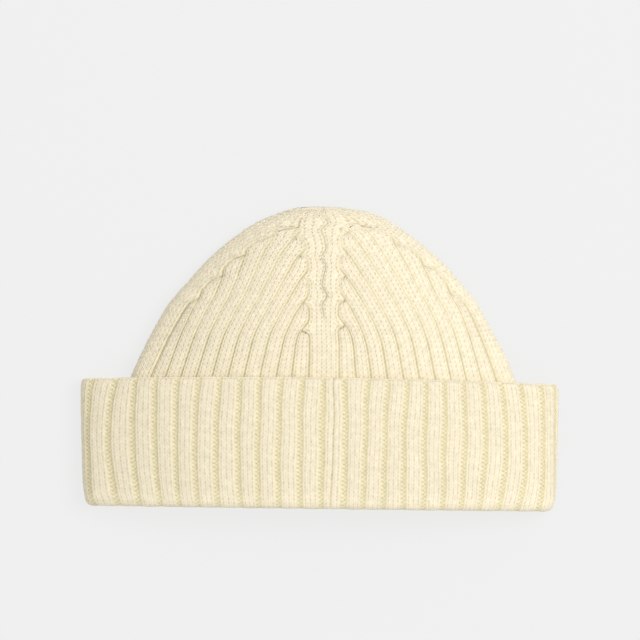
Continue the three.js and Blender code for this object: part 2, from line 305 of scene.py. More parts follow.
class Surface:
    """Points and normals of a smooth sheet, over its own levels and the quarters round the hat."""

    samples = 1600

    def __init__(self, levels, rings):
        self.levels = np.asarray(levels, float)
        points = np.asarray(rings, float)
        around = np.roll(points, -1, axis=1) - np.roll(points, 1, axis=1)
        along = np.gradient(points, axis=0)
        normals = np.cross(around, along)
        normals /= np.maximum(np.linalg.norm(normals, axis=2, keepdims=True), 1e-9)
        self.points, self.normals = points, normals

    def at(self, level, quarters):
        row = np.interp(level, self.levels, np.arange(len(self.levels)))
        column = np.mod(quarters, 4) * self.samples / 4
        i = np.clip(row.astype(int), 0, len(self.levels) - 2)
        j = column.astype(int) % self.samples
        a, b = (row - i)[..., None], (column - np.floor(column))[..., None]
        k = (j + 1) % self.samples
        found = []
        for grid in (self.points, self.normals):
            low = grid[i, j] * (1 - b) + grid[i, k] * b
            high = grid[i + 1, j] * (1 - b) + grid[i + 1, k] * b
            found.append(low * (1 - a) + high * a)
        found[1] /= np.maximum(np.linalg.norm(found[1], axis=-1, keepdims=True), 1e-9)
        return found


SPREAD = np.arange(Surface.samples) * 4 / Surface.samples


def crown_surface(lowest, depth):
    """The crown's smooth sheet at a depth, from a level below the hem up to the tip."""
    shrink = 1 - depth / CROWN_RISE
    levels, rings = [], []
    for level in np.arange(lowest, LAST_RISE * CROWN_RISE, RING_STEP):
        if level < 0:
            section = inner_section(HEM_Y + level)
            inset = depth
        else:
            section = crown_section(level / CROWN_RISE)
            section["y"] = HEM_Y + level * shrink
            inset = min(depth, section["edge"] * DEEPEST_SHARE)
        levels.append(level)
        rings.append(ring(section, SPREAD, inset))
    last = crown_section(LAST_RISE)
    last["y"] = HEM_Y + LAST_RISE * CROWN_RISE * shrink
    rim = ring(last, SPREAD, min(depth, last["edge"] * DEEPEST_SHARE))
    middle = (last["low"] + last["high"]) / 2
    tip = np.array([CROWN_OFFSET + TIP_ACROSS * CROWN_WIDTH / 2, HEM_Y + CROWN_RISE * shrink,
                    mix(TIP_HIGH * CROWN_HIGH, middle, min(depth, 1))])
    for turn in np.linspace(0, TIP_LAST, TIP_RINGS):
        levels.append(CROWN_RISE * mix(LAST_RISE, 1, turn))
        close = math.cos(math.pi / 2 * turn)
        lift = math.sin(math.pi / 2 * turn)
        points = tip + (rim - tip) * close
        points[:, 1] = mix(rim[:, 1], tip[1], lift)
        rings.append(points)
    return Surface(levels, rings), tip


# Meshes from grids of points

def grid_corners(rows, columns):
    """Corners of the faces of a closed grid; the last column joins the first again."""
    i, j = np.meshgrid(np.arange(rows - 1), np.arange(columns), indexing="ij")
    quads = np.stack([np.stack([i, j], -1), np.stack([i, j + 1], -1),
                      np.stack([i + 1, j + 1], -1), np.stack([i + 1, j], -1)], axis=2)
    return quads.reshape(-1, 4, 2)


def make_piece(grid, course, columns_u, groove, crease, vertex=None):
    """A mesh over a closed grid. Corners that share a vertex close up without a face."""
    rows, columns = grid.shape[:2]
    if vertex is None:
        vertex = np.arange(rows * columns).reshape(rows, columns)
    corners = grid_corners(rows, columns)
    flat = vertex[corners[..., 0], corners[..., 1] % columns]
    same = flat == np.roll(flat, -1, axis=1)
    keep = same.sum(axis=1) < 2
    keep &= (flat[:, 0] != flat[:, 2]) & (flat[:, 1] != flat[:, 3])
    flat, same, corners = flat[keep], same[keep], corners[keep]
    u = columns_u[corners[..., 1]]
    v = course[corners[..., 0], corners[..., 1] % columns]
    used = np.unique(flat)
    renumber = np.full(rows * columns, -1)
    renumber[used] = np.arange(len(used))
    faces, uvs = [], []
    for face, joined, uu, vv in zip(renumber[flat].tolist(), same.tolist(), u.tolist(), v.tolist()):
        chosen = [n for n in range(4) if not joined[n]]
        faces.append([face[n] for n in chosen])
        for n in chosen:
            uvs.extend((uu[n], vv[n]))
    return {"points": grid.reshape(-1, 3)[used], "faces": faces, "uvs": uvs,
            "groove": groove.reshape(-1)[used], "crease": crease.reshape(-1)[used]}


def make_cap(rim, tip, faces, uvs, tone):
    """A fan of faces that closes a rim of points on the tip, in one even tone."""
    tones = np.full(len(rim) + 1, tone)
    return {"points": np.concatenate([rim, [tip]]), "faces": faces, "uvs": uvs,
            "groove": tones, "crease": tones}


def build_object(name, parts, material, nodes):
    """One object from several meshes, put in metres where the model lies."""
    faces, uvs = [], []
    start = 0
    for part in parts:
        faces.extend([[n + start for n in face] for face in part["faces"]])
        uvs.extend(part["uvs"])
        start += len(part["points"])
    place = np.concatenate([part["points"] for part in parts])
    place[:, 1] += SHIFT_Y
    place[:, 2] = np.maximum(place[:, 2], 0)
    mesh = bpy.data.meshes.new(name)
    mesh.from_pydata((place * 0.001).tolist(), [], faces)
    layer = mesh.uv_layers.new(name="stitches")
    layer.data.foreach_set("uv", np.asarray(uvs, dtype=np.float32))
    # The shares of the grooves' colour and of the holes' painted shade, for the material.
    for kind in ("groove", "crease"):
        shares = np.concatenate([part[kind] for part in parts]).astype(np.float32)
        mesh.attributes.new(kind, "FLOAT", "POINT").data.foreach_set("value", shares)
    mesh.polygons.foreach_set("use_smooth", np.ones(len(mesh.polygons), dtype=bool))
    mesh.update()
    mesh.validate()
    item = bpy.data.objects.new(name, mesh)
    bpy.context.scene.collection.objects.link(item)
    mesh.materials.append(material)
    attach(item, "root")
    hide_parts(*nodes)
    print("piece", name, "triangles", sum(len(face) - 2 for face in faces))


# Knit stitches

# Each wale has columns at its edge, on its two legs and on the heart between them. Their heights
# over the sheet are given at the stitch's crest and in the crease below it.
GROOVE_SPOT, EDGE_SPOT, LEG_SPOT, HEART_SPOT = range(4)
CREST = np.array([0.0, 0.05, 0.42, 0.12])
CREASE = np.array([-0.15, -0.22, 0.10, -0.62])
CREST_POWER = 0.6

# A wale's columns: the share of its width, the kind, and how far up the chevron it lies.
WALE_SPOTS = ((0, EDGE_SPOT, 1), (0.25, LEG_SPOT, 0.5), (0.5, HEART_SPOT, 0), (0.75, LEG_SPOT, 0.5))

# How far each place lies in the small holes between the stitches, as its share of painted shade:
# at the heart by its phase, and elsewhere on the whole and in the crease.
HOLE_PHASES = [0, 0.1, 0.5, 0.75, 0.9, 1]
HOLE_SHADES = [0.6, 0.9, 0.6, 0.12, 0.2, 0.6]
PLAIN_SHADES = np.array([0.24, 0.20, 0.0, 0.0])
CREASE_SHADES = np.array([0.15, 0.20, 0.20, 0.0])


def stitch_crest(phase):
    """How near the crest a phase is. Phase 0 is the crease between two courses."""
    return np.sin(np.pi * np.mod(phase, 1)) ** CREST_POWER


def stitch_height(spot, phase):
    """Height of a knit stitch."""
    return mix(CREASE[spot], CREST[spot], stitch_crest(phase))


def stitch_hole_shade(spot, phase):
    """How far a place lies in the small holes between the stitches: its share of painted shade."""
    share = 1 - stitch_crest(phase)
    hole = np.interp(np.mod(phase + 0.1, 1), HOLE_PHASES, HOLE_SHADES)
    plain = PLAIN_SHADES[spot] + CREASE_SHADES[spot] * share
    return np.where(spot == HEART_SPOT, hole, plain)


def stitch_unevenness(course, wale, seed):
    """How much darker or lighter the painted shade in each hole is."""
    return 1 + 0.4 * drift(course * 2.3, wale * 1.9, seed, 1.6)


def wale_columns(start, end, wales):
    """Places, kinds and chevron offsets of the columns over some wales, without the last edge."""
    places, kinds, offsets = [], [], []
    width = (end - start) / wales
    for n in range(wales):
        for share, kind, offset in WALE_SPOTS:
            places.append(start + (n + share) * width)
            kinds.append(kind)
            offsets.append(offset)
    return places, kinds, offsets


# How the crown's ribs end at its bands

def narrowing(ends, rise, step):
    """How many ribs' width a band has taken up at each rise, smoothly."""
    places = [0, *(share * ends[0] for share, _ in FIRST_NARROWING), *ends,
              ends[-1] + LAST_NARROWING, 1]
    widths = [0, *(loss for _, loss in FIRST_NARROWING), *(n + 1 - step for n in range(len(ends))),
              len(ends), len(ends)]
    total = sum(np.interp(rise + shift, places, widths) for shift in NARROWING_BLUR)
    return total / len(NARROWING_BLUR)


def ended(ends, rise):
    """How many ribs have ended at each rise. Each one closes with a rounded top."""
    count = 0
    for end in ends:
        part = np.clip((rise - (end - END_REACH)) / END_REACH, 0, 1)
        count = count + 1 - np.sqrt(1 - part ** 2)
    return count


def end_of(ends, place, rise):
    """How far below its rib's end a place across the ribs is, in shares of the rise."""
    never = 9.0
    rib = np.clip(np.floor(place).astype(int), 0, len(ends))
    tops = np.array([*ends, never])[rib]
    share = np.clip(place - rib, 0, 1)
    return tops - END_REACH * (1 - np.sqrt(1 - (1 - share) ** 2)) - rise


def hold(left):
    """How much wider the rib beside a band keeps itself, where this many ribs are left to it."""
    return HOLD * np.exp(-(((left - HOLD_AT) / HOLD_REACH) ** 2))


def border_place(whole_ribs, narrowed, step, kept):
    """Where the groove beside the last ended rib lies: it swings in to the band."""
    left = np.maximum(whole_ribs - narrowed, 0)
    swinging = (step + kept * hold(step)) * (left / step) ** SWING_POWER
    return np.where(left < step, swinging, left + kept * hold(left))


# The crown

# The zones of a quarter's columns: the half band before the gore, its ribs, the half band after
# it, and the two borders between them.
BAND_ZONE, RIB_ZONE, BAND_AFTER, START_BORDER, END_BORDER = range(5)

# The edges of a rib or band lie this far from the groove beside them, in ribs. A point of a rib
# closes on the border when the rib's end is this near, in ribs. A groove is this wide, in wales.
CROWN_LIP = 0.042
CLOSE_REACH = 0.04
GROOVE_LEAD = 0.1

# The stitches start below the hem, where the cuff covers them.
KNIT_START = -8.0
COURSES_BELOW = 3
COVER_TOP = -5.0

# The wavy groove up the front and back bands: widths in ribs, lengths in courses and starts.
WAVES = ((0.13, 6.2, 0.6), (0.05, 3.7, 0))

# The crown's relief, in millimetres, and its painted shade, as shares of the grooves' colour. The
# first of a pair holds low down and beside the bands, and the second higher up in a gore's middle.
RIB_FALL = 0.38
GROOVE_DEPTHS = (1.0, 0.62)
GROOVE_SHADES = (1.0, 0.55)
EDGE_SHADES = (0.5, 0.3)
LIT_EDGE_SHADES = (0.7, 0.42)
RIB_PITCH = 8.0
SUNK_DEPTH = 0.75
SUNK_REACH, SUNK_REACH_LEFT = 1.2, 2.0
SUNK_SHADE, SUNK_SHADE_LEFT = 0.2, 0.5
BAND_FALL = 0.50
BAND_SHADE = 0.5
SPLIT_DEPTH = 0.95
SPLIT_SHADE = 0.62
BORDER_DEPTH = 1.0
BEAD_SHADE = 0.3

# The inner face: columns to a rib, and the heights of its ribs and courses.
INNER_COLUMNS = 5
INNER_RIB = 0.35
INNER_COURSE = 0.18
# The inner face takes this even share of the grooves' colour and of the holes' painted shade.
INNER_TONE = 0.25


def crown_columns():
    """Columns round the crown, quarter by quarter: a half band, the gore's ribs, a half band.

    Each has its quarter, its zone, its place in the zone, its kind, its offset up the chevron and
    its place in wales."""
    columns = []
    wale = 0

    def add(quarter, zone, spots, lead):
        for n, (place, kind, offset) in enumerate(zip(*spots)):
            columns.append((quarter, zone, place, kind, offset, wale + lead + n / 4))

    for number, quarter in enumerate(QUARTERS):
        wales = [round(RIB_WALES * band) for band in quarter["bands"]]
        add(number, BAND_ZONE, wale_columns(0, 1 - CROWN_LIP, wales[0]), 0)
        columns.append((number, BAND_ZONE, 1 - CROWN_LIP, EDGE_SPOT, 1, wale + wales[0]))
        wale += wales[0]
        columns.append((number, START_BORDER, 0, GROOVE_SPOT, 1, wale + GROOVE_LEAD))
        for rib in range(GORE_RIBS):
            if rib > 0:
                columns.append((number, RIB_ZONE, rib, GROOVE_SPOT, 1, wale))
            start, end = rib + CROWN_LIP, rib + 1 - CROWN_LIP
            add(number, RIB_ZONE, wale_columns(start, end, RIB_WALES), GROOVE_LEAD)
            columns.append((number, RIB_ZONE, end, EDGE_SPOT, 1, wale + (RIB_WALES + GROOVE_LEAD)))
            wale += RIB_WALES
        columns.append((number, END_BORDER, GORE_RIBS, GROOVE_SPOT, 1, wale))
        places, kinds, offsets = wale_columns(0, 1 - CROWN_LIP, wales[1])
        places = [1 - CROWN_LIP] + places[:0:-1]
        kinds = [EDGE_SPOT] + kinds[:0:-1]
        offsets = [1] + offsets[:0:-1]
        add(number, BAND_AFTER, (places, kinds, offsets), GROOVE_LEAD)
        wale += wales[1]
    return np.array(columns), wale


def crown_places(quarter, zone, place, level):
    """Where each column lies at its level, in quarters, and what the relief needs to know of it."""
    rise = level / CROWN_RISE
    at = place + 0 * level
    cut, off, near, band, middle = ([0 * level, 0 * level] for _ in range(5))
    for number, data in enumerate(QUARTERS):
        chosen = quarter == number
        for side in (0, 1):
            ends = data["ends"][side]
            from_border = at[:, chosen] if side == 0 else GORE_RIBS - at[:, chosen]
            in_middle = data["bands"][side] == BAND
            step = MIDDLE_STEP if in_middle else SIDE_STEP
            cut[side][:, chosen] = narrowing(ends, rise[:, chosen], step)
            off[side][:, chosen] = ended(ends, rise[:, chosen])
            near[side][:, chosen] = end_of(ends, from_border, rise[:, chosen])
            band[side][:, chosen] = data["bands"][side]
            middle[side][:, chosen] = in_middle
    live = np.maximum(GORE_RIBS - cut[0] - cut[1], 0)
    whole = band[0] + live + band[1]
    gone = [np.floor(off[side] + 1e-6) for side in (0, 1)]
    step = [mix(SIDE_STEP, MIDDLE_STEP, middle[side]) for side in (0, 1)]
    kept = [middle[side] * (1 - fade(rise, 0.3, 0.15)) for side in (0, 1)]
    swing = [border_place(gone[side], cut[side], step[side], kept[side]) for side in (0, 1)]
    stop = np.maximum(GORE_RIBS - off[1], off[0])

    def groove_place(number):
        """Where the groove after this many ribs lies, in ribs from the quarter's start."""
        from_start, from_end = number - gone[0], GORE_RIBS - gone[1] - number
        inner = band[0] - cut[0] + number + kept[0] * hold(number - cut[0])
        inner = inner - kept[1] * hold(GORE_RIBS - number - cut[1])
        inner = np.where(from_start <= 0, band[0] + swing[0], inner)
        return np.where(from_end <= 0, whole - band[1] - swing[1], inner)

    def along_of(spot):
        """Where a place counted in ribs lies, in ribs from the quarter's start."""
        low = np.minimum(np.floor(spot + 1e-6), GORE_RIBS - gone[1] - 1)
        low = np.maximum(low, gone[0])
        first, after = groove_place(low), groove_place(low + 1)
        return mix(first, np.maximum(after, first), np.clip(spot - low, 0, 1))

    # A band's outer half stretches to its border where that swings out round a rib's end.
    edges = [along_of(off[0]), along_of(stop)]
    shift = [edges[0] - band[0], whole - band[1] - edges[1]]
    stretch = fade(place, 0.5, 0.5)
    along = along_of(np.clip(at, off[0], stop))
    along = np.where(zone == START_BORDER, edges[0], along)
    along = np.where(zone == END_BORDER, edges[1], along)
    along = np.where(zone == BAND_ZONE, band[0] * place + shift[0] * stretch, along)
    along = np.where(zone == BAND_AFTER, whole - band[1] * place - shift[1] * stretch, along)
    return {"quarters": quarter + along / whole, "whole": whole, "along": along, "off": off,
            "near": near, "gone": gone, "edges": edges, "swing": swing}


def bent_levels(quarter, zone, place, share, base_level):
    """Levels of the courses, which bend up at the sides, and the columns' places on them."""
    rise = SIDE_RISE * 27 / 4 * share ** 2 * (1 - share)
    level = base_level
    for _ in range(3):
        found = crown_places(quarter, zone, place, level)
        side_share = np.abs(np.mod(found["quarters"] + 1, 2) - 1)
        level = base_level + rise * side_share ** 2
    return level, crown_places(quarter, zone, place, level)


def closed_points(quarter, zone, place, off):
    """Which points of the ribs have closed on the border at the start and at the end."""
    ribs = zone == RIB_ZONE
    closed_start = ribs & (place <= off[0] + CLOSE_REACH)
    closed_end = ribs & (place >= GORE_RIBS - off[1] - CLOSE_REACH)
    for closed, backward in ((closed_start, True), (closed_end, False)):
        closed[:] = np.maximum.accumulate(closed, axis=0)
        for number in range(len(QUARTERS)):
            chosen = np.where((quarter == number) & ribs)[0]
            chosen = chosen[::-1] if backward else chosen
            closed[:, chosen] = np.maximum.accumulate(closed[:, chosen], axis=1)
    return closed_start, closed_end


def crown_relief(columns, up, found):
    """Heights over the crown's sheet but for the stitches, and its painted shade, mostly in
    grooves.

    The masks of the grooves, of the rib edges that the light catches and of the borders follow."""
    quarter, zone, place, kind, centre = columns
    off, gone, edges = found["off"], found["gone"], found["edges"]
    ribs = zone == RIB_ZONE
    band = (zone == BAND_ZONE) | (zone == BAND_AFTER)
    border = (zone == START_BORDER) | (zone == END_BORDER)
    groove = ribs & (kind == GROOVE_SPOT)
    lit = ribs & (kind == EDGE_SPOT) & (np.mod(place, 1) > 0.9)

    # Ribs are rounded over their three wales, with thin closed grooves between them.
    # Painted shade darkens the grooves and the ribs' edges beside them, and more strongly the edge
    # that the light catches.
    across = np.where(ribs, np.abs(2 * np.mod(place, 1) - 1), 0)
    beside = np.minimum(place - gone[0], GORE_RIBS - gone[1] - place)
    fading = fade(up, 0.18, 0.22) * fade(beside, 0.6, 0.8)
    height = -RIB_FALL * across ** 2 + 0 * up
    height = np.where(groove, -mix(*GROOVE_DEPTHS, fading), height)
    painted_shade = np.where(ribs, mix(*EDGE_SHADES, fading) * across ** 12, 0) + 0 * up
    painted_shade = np.where(lit, mix(*LIT_EDGE_SHADES, fading), painted_shade)
    painted_shade = np.where(groove, mix(*GROOVE_SHADES, fading), painted_shade)

    # Beside a border the ribs sink to it. Down the hat's left side that groove is broad.
    half = GORE_RIBS / 2
    left_side = ribs & (((quarter == 2) & (place > half)) | ((quarter == 3) & (place < half)))
    reach = np.where(left_side, SUNK_REACH_LEFT, SUNK_REACH)
    lateral = np.minimum(found["along"] - edges[0], edges[1] - found["along"]) * RIB_PITCH
    vertical = np.minimum(found["near"][0], found["near"][1]) * CROWN_RISE
    near = np.where(ribs, np.minimum(lateral, vertical), np.inf)
    sunk = 1 - soft(near / reach)
    height = np.minimum(height, -SUNK_DEPTH * sunk)
    # The sunk places get painted shade, more of it down the left side.
    painted_shade = np.maximum(painted_shade, np.where(left_side, SUNK_SHADE_LEFT, SUNK_SHADE) * sunk)

    # Bands fall to their borders, and the wavy groove splits the front and back ones.
    opened = fade(up, 0.33, 0.06)
    split = centre & (place == 0)
    height = height - np.where(band, BAND_FALL * place ** 5, 0)
    height = height - np.where(split, SPLIT_DEPTH * opened, 0)
    # Painted shade darkens the bands' edges and the wavy groove.
    painted_shade = np.where(band, BAND_SHADE * place ** 14, painted_shade)
    painted_shade = np.maximum(painted_shade, np.where(split, SPLIT_SHADE * opened, 0))

    # A border's groove closes over each rib's end. Higher up it shows only where it swings in
    # after one.
    at_start = zone == START_BORDER
    closing = np.where(at_start, off[0] - gone[0], off[1] - gone[1])
    swinging = np.where(at_start, found["swing"][0], found["swing"][1])
    shown = mix(1, 0.3 + 0.7 * soft(swinging / 0.15), fade(up, 0.40, 0.12))
    height = np.where(border, -BORDER_DEPTH * (1 - 0.6 * fade(closing, 0.35, 0.5)), height)
    height = np.where(border, height * mix(1, shown, 0.6), height)
    # Painted shade fills the border's groove where it shows.
    painted_shade = np.where(border, (1 - 0.85 * fade(closing, 0.08, 0.4)) * shown, painted_shade)

    # The relief gets shallower and the painted shade lighter towards the tip.
    top = fade(up, 0.66, 0.24)
    return height * (1 - 0.72 * top), painted_shade * (1 - 0.25 * top), groove, lit, border


def crown_outer():
    """The crown's outer face, stitch by stitch, and the cap that closes it at the tip."""
    surface, tip = crown_surface(KNIT_START, 0)
    columns, wales = crown_columns()
    quarter, zone, place, kind, offset, wale = columns.T
    kind = kind.astype(int)
    length = lengths_along(surface.points[:, 0])
    hem = np.interp(0, surface.levels, length)
    courses = int((length[-1] - hem) / COURSE)
    rows = np.arange(-COURSES_BELOW * SUB_ROWS, courses * SUB_ROWS + 1)
    phase = rows[:, None] / SUB_ROWS
    course = np.minimum(phase + CHEVRON * offset, courses)
    base_level = np.interp(course * COURSE + hem, length, surface.levels)
    share = np.clip(course / courses, 0, 1)
    level, found = bent_levels(quarter, zone, place, share, base_level)
    closed_start, closed_end = closed_points(quarter, zone, place, found["off"])

    # The right side is turned a little, and the middle of the front and back bands is wavy.
    quarters = found["quarters"]
    right = np.sin(np.pi / 2 * np.clip(quarters, 0, 2)) ** 2
    quarters = quarters + RIGHT_TURN * soft(level / (0.5 * CROWN_RISE)) * right
    up = np.clip(level / CROWN_RISE, 0, 1)
    even = quarter % 2 == 0
    centre = ((zone == BAND_ZONE) & even) | ((zone == BAND_AFTER) & ~even)
    wavy = sum(width * np.sin(course * 2 * np.pi / span + start) for width, span, start in WAVES)
    wavy = wavy * fade(up, 0.3, 0.1) * np.where(centre, np.clip(1 - place / 0.7, 0, 1), 0)
    quarters = quarters + wavy / found["whole"]

    columns = (quarter, zone, place, kind, centre)
    height, painted_shade, groove, lit, border = crown_relief(columns, up, found)
    # Painted shade in the holes between the stitches, and the stitches' relief, are weaker in
    # grooves and borders and fade out at the tip.
    quiet = np.where(border | groove, 0.4, 1) * soft((CROWN_RISE - level) / 2.5)
    crease = stitch_hole_shade(kind, phase) * quiet * stitch_unevenness(course, wale, 11)
    crease = np.clip(crease, 0, 1)
    # Painted shade in the grooves and on the lit rib edges rises and falls with the courses, as
    # dots.
    beads = np.where(groove | lit, BEAD_SHADE * np.cos(2 * np.pi * (phase + 0.25 * lit)), 0)
    groove_share = np.clip(painted_shade * (1 + beads), 0, 1)
    height = height + stitch_height(kind, phase) * quiet
    height = height + 0.08 * drift(course, wale, 3, 0.9)

    # Courses and ribs wander a little, but not at the hem.
    level = level + 0.30 * drift(quarters * 9, course, 5, 0.35) * soft(level / 8)
    quarters = quarters + 0.0035 * drift(quarters * 14, course, 8, 0.24) * soft(level / 20)
    point, normal = surface.at(level, quarters)
    grid = point + normal * height[..., None]
    vertex = np.arange(height.size).reshape(height.shape)
    for number in range(len(QUARTERS)):
        inside = np.where((quarter == number) & (zone == RIB_ZONE))[0]
        for closed, where in ((closed_start, START_BORDER), (closed_end, END_BORDER)):
            base = vertex[:, np.where((quarter == number) & (zone == where))[0]]
            vertex[:, inside] = np.where(closed[:, inside], base, vertex[:, inside])
    part = make_piece(grid, course, np.append(wale, wales), groove_share, crease, vertex)

    rim = []
    for n in vertex[-1].tolist():
        if not rim or rim[-1] != n:
            rim.append(n)
    faces = [[n, (n + 1) % len(rim), len(rim)] for n in range(len(rim))]
    uvs = [value for face in faces for n in face for value in (n / 4, 50.0)]
    # The cap takes an even share of the grooves' colour and of the holes' painted shade.
    return [part, make_cap(grid.reshape(-1, 3)[rim], tip, faces, uvs, 0.3)]


def crown_inner():
    """The crown's inner face, with the knit's softer reverse, and its covered foot."""
    foot = CROWN_FOOT - HEM_Y
    surface, tip = crown_surface(foot, CROWN_WALL)
    levels = np.arange(foot, CROWN_RISE * LAST_RISE, COURSE / 2)
    spots = np.arange(4 * RIBS_ROUND * INNER_COLUMNS) / INNER_COLUMNS / RIBS_ROUND
    level = np.repeat(levels[:, None], len(spots), axis=1)
    quarters = np.repeat(spots[None, :], len(levels), axis=0)
    point, normal = surface.at(level, quarters)
    rib_wave = INNER_RIB * np.cos(2 * np.pi * np.mod(spots * RIBS_ROUND, 1))
    course_wave = INNER_COURSE * np.cos(np.pi * np.arange(len(levels)))
    wave = (rib_wave + course_wave[:, None]) * soft((CROWN_RISE * 0.9 - level) / 20)
    grid = point - normal * wave[..., None]
    # The foot's edge, and the covered outer face up to where the dense knit starts.
    outer, _ = crown_surface(foot, 0)
    covered = []
    for at in (foot, foot + 10, foot + 20, foot + 30, COVER_TOP):
        covered.append(outer.at(np.full(len(spots), at), spots)[0])
    grid = np.concatenate([grid[::-1], np.array(covered)])
    rows, columns = grid.shape[:2]
    course = np.repeat(np.arange(rows)[:, None] / 2.0, columns, axis=1)
    tone = np.full((rows, columns), INNER_TONE)
    columns_u = np.append(spots, 4.0) * RIBS_ROUND * 5
    part = make_piece(grid, course, columns_u, tone, tone)
    faces = [[(n + 1) % columns, n, columns] for n in range(columns)]
    return [part, make_cap(grid[0], tip, faces, [0.0] * (len(faces) * 6), INNER_TONE)]


# The cuff

# Three knit wales lie this far to each side of a rib's middle, in ribs. The two purl wales beside
# them have four columns, whose places, depths and tones follow.
KNIT_HALF = 0.35
PURL_PLACES = (0.405, 0.47, 0.53, 0.595)
PURL_DEPTHS = np.array([0, 0.32, 0.44, 0.50, 0.46])
# The purl wales' tones: the grooves' yellower colour with painted shade, darkest at the right.
PURL_TONES = np.array([0, 0.35, 0.58, 0.70, 0.95])
PURL_BUMP = 0.34
REPEAT_WALES = 5

# The ribs' fall and the painted shade at their edges, and the seam's crease: its reach, depth and
# painted shade.
CUFF_RIB_FALL = 0.22
CUFF_EDGE_SHADE = 0.5
SEAM_REACH = 0.04
SEAM_DEPTH = 0.9
SEAM_SHADE = 0.7


def cuff_path():
    """Places round the cuff's sheet: from inside the mouth round the fold, over the hem and back.

    Each is its place up the hat, its depth in the section and a shift. The marks say which place
    ends each stretch."""
    path, marks = [], {}
    for y in np.linspace(TURN_Y + FOLD_LIP, TURN_Y, 9):
        path.append((y, 2 * TURN_RADIUS, 0.0))
    marks["fold"] = len(path) - 1
    for turn in np.linspace(math.pi, 0, 15)[1:]:
        depth = TURN_RADIUS * (1 - math.cos(turn))
        path.append((TURN_Y, depth, -TURN_RADIUS * math.sin(turn)))
    marks["out"] = len(path) - 1
    marks["turn"] = (marks["fold"] + marks["out"]) // 2
    hem_radius = CUFF_WALL / 2
    for y in np.linspace(TURN_Y, HEM_Y - hem_radius, 60)[1:]:
        path.append((y, 0.0, 0.0))
    marks["hem"] = len(path) - 1
    for turn in np.linspace(0, math.pi, 13)[1:]:
        depth = hem_radius * (1 - math.cos(turn))
        path.append((HEM_Y - hem_radius, depth, hem_radius * math.sin(turn)))
    marks["end"] = len(path) - 1
    for y in (HEM_Y - 9, HEM_Y - 30, CROWN_FOOT):
        path.append((y, CUFF_WALL, 0.0))
    path.append((TURN_Y + FOLD_LIP, 2 * TURN_RADIUS, 0.0))
    return path, marks


def cuff_rows(length, marks):
    """How far along the cuff's path each row lies, and its phase in the courses."""
    turn, hem, end = (length[marks[name]] for name in ("turn", "hem", "end"))
    inside = np.arange(0, turn, CUFF_COURSE / 2)
    outside = np.arange(inside[-1] + CUFF_COURSE / 2, hem + 1.2, CUFF_COURSE / SUB_ROWS)
    over = np.linspace(outside[-1] + 1.0, end, 6)
    back = length[marks["end"] + 1:]
    phase = np.concatenate([np.arange(len(inside)) / 2,
                            len(inside) / 2 + np.arange(len(outside)) / SUB_ROWS,
                            np.zeros(len(over) + len(back))])
    return np.concatenate([inside, outside, over, back]), phase


def cuff_columns():
    """Columns round the cuff: three knit wales in each rib and two purl wales in each groove."""
    columns = []
    for rib in range(RIBS_ROUND * 4):
        start = rib * REPEAT_WALES
        spots = wale_columns(-KNIT_HALF, KNIT_HALF, RIB_WALES)
        for n, (place, kind, offset) in enumerate(zip(*spots)):
            columns.append((rib, place, kind, offset, start + n / 4, 0))
        columns.append((rib, KNIT_HALF, EDGE_SPOT, 1, start + RIB_WALES, 0))
        for number, place in enumerate(PURL_PLACES, 1):
            wale = start + RIB_WALES + (place - KNIT_HALF) * 6
            columns.append((rib, place, LEG_SPOT, 0.5, wale, number))
    return np.array(columns)


def cuff_warp(ribs, height):
    """Quarters round the cuff for places counted in ribs, so that the grooves lie as laid down."""
    found = []
    for y, grooves in zip(GROOVE_HEIGHTS, (GROOVES_LOW, GROOVES_MIDDLE, GROOVES_HIGH)):
        section = cuff_section(y)
        length = half_core(section, section["left"])[3][-1]
        front = np.linspace(-1, 1, 500) - SEAM_OFFSET / (length / 2)
        across = ring(section, front, 0)[:, 0]
        quarters = np.interp(grooves, across, front)
        marks = np.append(GROOVE_RIBS, GROOVE_RIBS[0] + 4 * RIBS_ROUND)
        spots = np.append(quarters, quarters[0] + 4)
        turned = np.mod(ribs - marks[0], 4 * RIBS_ROUND) + marks[0]
        found.append(np.interp(turned, marks, spots))
    # A curve of the second degree through the three heights.
    y = np.clip(height, 0, CUFF_HEIGHT)
    total = 0
    for own, quarters in zip(GROOVE_HEIGHTS, found):
        a, b = (other for other in GROOVE_HEIGHTS if other != own)
        total = total + quarters * (y - a) * (y - b) / ((own - a) * (own - b))
    return total


